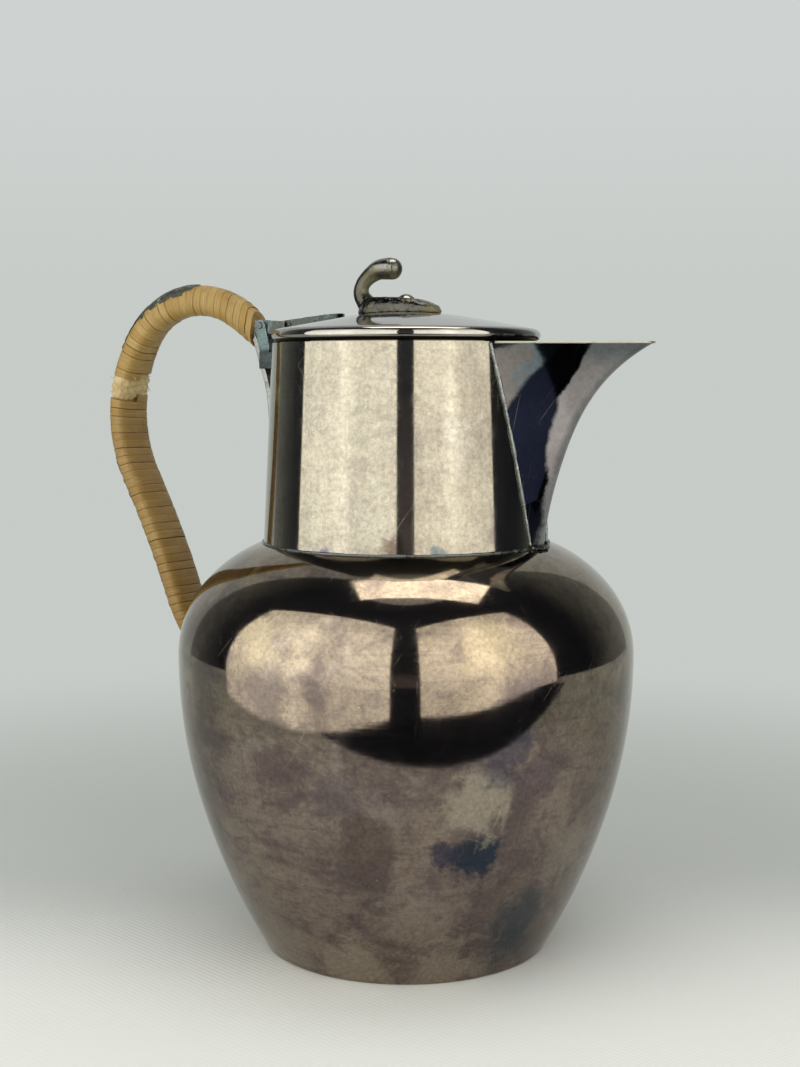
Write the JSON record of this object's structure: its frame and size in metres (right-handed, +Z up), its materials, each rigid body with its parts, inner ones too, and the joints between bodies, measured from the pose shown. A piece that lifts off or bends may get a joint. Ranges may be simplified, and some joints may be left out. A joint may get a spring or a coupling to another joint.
{
  "type": "coffee pot",
  "caption": "Pear-shaped metal coffee pot with a tapered neck, beak spout, hinged domed lid with a scroll thumb piece and a cane-bound loop handle.",
  "frame": {"origin": "centre of the flat base, on the table", "axes": "+X to the spout, handle at -X, +Z up"},
  "size_m": [0.1843, 0.141, 0.2121],
  "materials": {
    "silver_plate": "tarnished silver plate on brass, polished, with stains and fine scratches",
    "hinge_metal": "dull plate with verdigris",
    "cast_scroll": "cast, worn plate, dark in the hollows",
    "cane": "varnished split cane",
    "under_binding": "frayed pale binding",
    "spine_leather": "worn dark strip"
  },
  "bodies": {
    "pot": {"body_shell": "silver_plate", "body_shoulder": "silver_plate", "base_disc": "silver_plate", "neck_collar": "silver_plate", "spout": "silver_plate", "hinge_bracket": "hinge_metal", "hinge_pin": "hinge_metal", "handle_tongue": "hinge_metal", "handle_foot": "hinge_metal", "handle_core": "hinge_metal", "cane_wrap_upper": "cane", "cane_wrap_lower": "cane", "binding_tape": "under_binding", "spine_strip_upper": "spine_leather", "spine_strip_lower": "spine_leather"},
    "lid": {"lid_dome": "silver_plate", "lid_bead": "silver_plate", "lid_bezel": "silver_plate", "hinge_strap": "hinge_metal", "thumb_scroll": "cast_scroll", "scroll_rivet": "cast_scroll", "rivet_washer": "cast_scroll"}
  },
  "joints": [
    {"name": "lid_hinge", "type": "hinge", "parent": "pot", "child": "lid", "pos_m": [-0.0482, 0, 0.1919], "axis": [0, -1, 0], "range_deg": [0, 100]}
  ]
}
